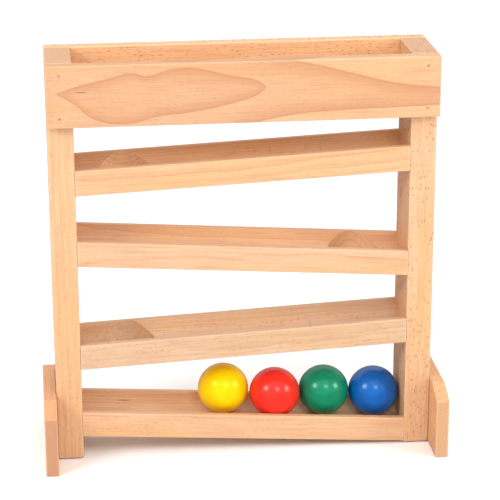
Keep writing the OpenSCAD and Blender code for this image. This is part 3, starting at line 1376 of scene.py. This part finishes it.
@dataclass
class Dowels:
    """Fluted dowels that join the tracks to the uprights, flush with the outer faces.

    Attributes:
        flutes: Number of flutes.
        flute_depth: Depth of a flute.
        chamfer: Chamfer of the inner end.
        flush: Length at the outer end without flutes.
        run_in: Length over which the flutes begin.
        end_round: Rounding of the outer end's edge.
        radius: Radius of a dowel.
        grip: How far a dowel reaches into a track.
        drop: Distance of a dowel's middle below the lips at the track's end.
    """

    flutes: int = 16
    flute_depth: float = 0.3 * MM
    chamfer: float = 0.8 * MM
    flush: float = 4 * MM
    run_in: float = 0.5 * MM
    end_round: float = 0.10 * MM
    radius: float = 4 * MM
    grip: float = 20 * MM
    drop: float = 15 * MM

    def dowel(self, length: float) -> bpy.types.Object:
        """Models a dowel whose outer end is at the origin and which runs down from it.

        Args:
            length: Length of the dowel.

        Returns:
            The dowel.
        """
        Bench.clear()
        bpy.ops.mesh.primitive_cylinder_add(vertices=self.flutes * 4, radius=self.radius,
                                            depth=self.flush, location=(0, 0, -self.flush / 2))
        dowel = Bench.named("dowel_master")
        Bench.settle(dowel)
        for depth in (self.flush + self.run_in, length - self.chamfer, length):
            Bench.draw_out(dowel, depth)
            Bench.done()
        self.narrow(dowel, self.radius - self.flute_depth, self.in_flute)
        self.narrow(dowel, self.radius - self.chamfer, lambda vertex: vertex.co.z < -length + MM / 10)
        Bench.pick(dowel, "FACE", lambda face: face.normal.z > 0.9)
        bpy.ops.mesh.bevel(offset=self.end_round, segments=2, affect="EDGES")
        Bench.done()
        Bench.smooth(dowel, 30.0)
        return dowel

    def in_flute(self, vertex: bpy.types.MeshVertex) -> bool:
        """Tests whether a vertex lies at the bottom of a flute.

        Args:
            vertex: The vertex.

        Returns:
            Whether it does.
        """
        step = 2 * math.pi / self.flutes
        fluted = vertex.co.z < -self.flush - self.run_in / 2
        return fluted and round(math.atan2(vertex.co.y, vertex.co.x) / step * 4) % 4 == 0

    def narrow(self, dowel: bpy.types.Object, left: float, chosen: Test) -> None:
        """Draws some points in towards the dowel's axis.

        Args:
            dowel: The dowel.
            left: Radius that is left of the dowel's.
            chosen: Test of one vertex.
        """
        share = left / self.radius
        Bench.pick(dowel, "VERT", chosen)
        bpy.ops.transform.resize(value=(share, share, 1), center_override=(0, 0, 0))
        Bench.done()

    def build(self, nodes: Nodes) -> None:
        """Makes the sixteen dowels, two at each end of each track.

        Args:
            nodes: The CAD nodes by name.
        """
        tracks = ("top_track", "second_track", "third_track", "catch_track")
        falls = (-1, 1, -1, 1)
        low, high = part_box("track_dowels")
        master = self.dowel(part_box("left_upright")[1].x + self.grip - low.x)
        wood = Beech("beech_dowels", pith=(3.0, -2.0), ring=1.9, wander=0.8, figure=0.7, fleck=0.5,
                     warmth=0.7, seed=43.0)
        unworn = (1000, 1000, 1000)
        material = wood.material(Vector((0, 0, 0)), (0, 0, 0), unworn)
        drops = Tracks()
        for track, sign in zip(tracks, falls):
            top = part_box(track)[1].z
            fall = drops.fall_right if sign > 0 else drops.fall_left
            for side, face in ((-1, low.x), (1, high.x)):
                lips = top if side * sign < 0 else top - fall
                for y in (low.y + self.radius, high.y - self.radius):
                    place = Vector((face, y, lips - self.drop))
                    end = "left" if side < 0 else "right"
                    row = "front" if y < 0 else "back"
                    placing = Matrix.Translation(place) @ axis_turn(Vector((side, 0, 0)))
                    dowel = Bench.copy(master, f"{track}_dowel_{end}_{row}", placing)
                    dress(dowel, material)
                    fit(dowel, "frame", "track_dowels")
        Bench.discard(master)


# ---------------------------------------------------------------------------------------------
# Studio
# ---------------------------------------------------------------------------------------------


@dataclass(frozen=True)
class Softbox:
    """A square studio softbox that faces the object.

    Attributes:
        name: Name of the light.
        round: Angle round the object from the front, positive to the right.
        rise: Angle above the ground.
        distance: Distance from the object's middle.
        size: Length of a side.
        power: Power in watts.
        colour: Colour of the light.
    """

    name: str
    round: float
    rise: float
    distance: float
    size: float
    power: float
    colour: Colour = (1.0, 1.0, 1.0)

    def build(self, target: Vector) -> None:
        """Sets up the light.

        Args:
            target: What it faces.
        """
        turn, rise = math.radians(self.round), math.radians(self.rise)
        away = Vector((math.sin(turn) * math.cos(rise), -math.cos(turn) * math.cos(rise), math.sin(rise)))
        light = bpy.data.lights.new(self.name, "AREA")
        light.shape = "SQUARE"
        light.size = self.size
        light.energy = self.power
        light.color = self.colour
        lamp = bpy.data.objects.new(self.name, light)
        lamp.location = target + away * self.distance
        lamp.rotation_euler = away.to_track_quat("Z", "Y").to_euler()
        bpy.context.scene.collection.objects.link(lamp)
        LOG.info("light %s", self.name)


@dataclass
class Studio:
    """Pale floor, soft light and the camera.

    Attributes:
        lens: Focal length of the camera, in millimetres.
        eye: Place of the camera.
        swing: Turn of the camera about the upright, positive to the left.
        dip: How far the camera looks down.
        roll: Turn of the camera about its own line of sight.
        sky: Strength of the soft light from above in front, from above behind, near the
            horizon in front, near the horizon behind, and from below it.
        floor_size: Length of a side of the floor.
        boxes: The softboxes.
    """

    lens: float = 142.38
    eye: Numbers = (-0.16993, -1.60449, 0.73162)
    swing: float = -6.327
    dip: float = 18.982
    roll: float = -0.152
    sky: Numbers = (0.86, 1.35, 0.86, 0.62, 0.25)
    floor_size: float = 40.0
    boxes: tuple[Softbox, ...] = (
        Softbox("left_softbox", -54.0, 31.0, 1.7, 0.50, 10.6),
        Softbox("middle_softbox", 11.0, 32.0, 1.7, 0.44, 4.6),
        Softbox("right_softbox", 60.0, 21.0, 1.7, 0.48, 8.6),
        Softbox("overhead_softbox", -8.0, 56.0, 2.4, 2.20, 8.0),
    )

    def build(self) -> None:
        """Sets up the camera, the floor and the lights."""
        scene = bpy.context.scene
        scene.view_settings.view_transform = "Standard"
        scene.view_settings.look = "None"
        self.build_camera(scene)
        self.build_floor()
        self.build_sky(scene)
        low, high = (Vector(corner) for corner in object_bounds())
        for box in self.boxes:
            box.build((low + high) / 2)

    def build_camera(self, scene: bpy.types.Scene) -> None:
        """Sets up the camera.

        Args:
            scene: The scene that it belongs to.
        """
        lens = bpy.data.cameras.new("camera")
        lens.lens = self.lens
        lens.sensor_width = 36.0
        camera = bpy.data.objects.new("camera", lens)
        turned = Matrix.Rotation(math.radians(self.swing), 4, "Z")
        turned = turned @ Matrix.Rotation(math.radians(90 - self.dip), 4, "X")
        turned = turned @ Matrix.Rotation(math.radians(self.roll), 4, "Z")
        camera.matrix_world = Matrix.Translation(self.eye) @ turned
        scene.collection.objects.link(camera)
        scene.camera = camera

    def build_floor(self) -> None:
        """Lays the floor just under the feet."""
        Bench.clear()
        bpy.ops.mesh.primitive_plane_add(size=self.floor_size)
        floor = Bench.named("studio_floor")
        Bench.pick(floor, "FACE", lambda face: True)
        bpy.ops.mesh.subdivide(number_cuts=3)
        Bench.done()
        dress(floor, Matte().material())
        floor.visible_glossy = False
        floor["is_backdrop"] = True

    def build_sky(self, scene: bpy.types.Scene) -> None:
        """Surrounds the studio with soft white, brighter from above and behind.

        Args:
            scene: The scene.
        """
        world = bpy.data.worlds.new("studio")
        world.use_nodes = True
        tree = world.node_tree
        background = tree.nodes["Background"]
        background.inputs["Color"].default_value = (1.0, 1.0, 1.0, 1.0)
        toward = tree.nodes.new("ShaderNodeSeparateXYZ")
        direction = tree.nodes.new("ShaderNodeTexCoord").outputs["Generated"]
        tree.links.new(direction, toward.inputs[0])
        _, back, up = toward.outputs
        front, behind, low_front, low_behind, below = self.sky
        above = self.change(back, (-0.6, 0.6), front, behind)
        level = self.change(back, (-0.4, 0.4), low_front, low_behind)
        raised = self.change(up, (0.22, 0.74), level, above)
        strength = self.change(up, (-0.03, 0.01), below, raised)
        tree.links.new(strength, background.inputs["Strength"])
        scene.world = world

    @staticmethod
    def change(along: Socket, span: tuple[float, float], low: object, high: object) -> Socket:
        """Eases the sky's light from one strength to another.

        Args:
            along: Part of the direction that is looked in.
            span: Where the change starts and ends.
            low: Strength before it, a number or an output.
            high: Strength after it, a number or an output.

        Returns:
            The strength.
        """
        tree = along.id_data
        node = tree.nodes.new("ShaderNodeMapRange")
        node.interpolation_type = "SMOOTHSTEP"
        tree.links.new(along, node.inputs["Value"])
        values = {"From Min": span[0], "From Max": span[1], "To Min": low, "To Max": high}
        for name, value in values.items():
            if isinstance(value, Socket):
                tree.links.new(value, node.inputs[name])
            else:
                node.inputs[name].default_value = value
        return node.outputs["Result"]


def main() -> None:
    """Builds the marble run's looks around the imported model, part by part."""
    logging.basicConfig(level=logging.INFO, format="%(message)s")
    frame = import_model()
    Studio().build()
    for assembly in (Tray(), Uprights(), Tracks(), Feet(), Balls(), Brads(), FootScrews(), Dowels()):
        LOG.info("building %s", type(assembly).__name__)
        assembly.build(frame["nodes"])


if __name__ == "__main__":
    main()
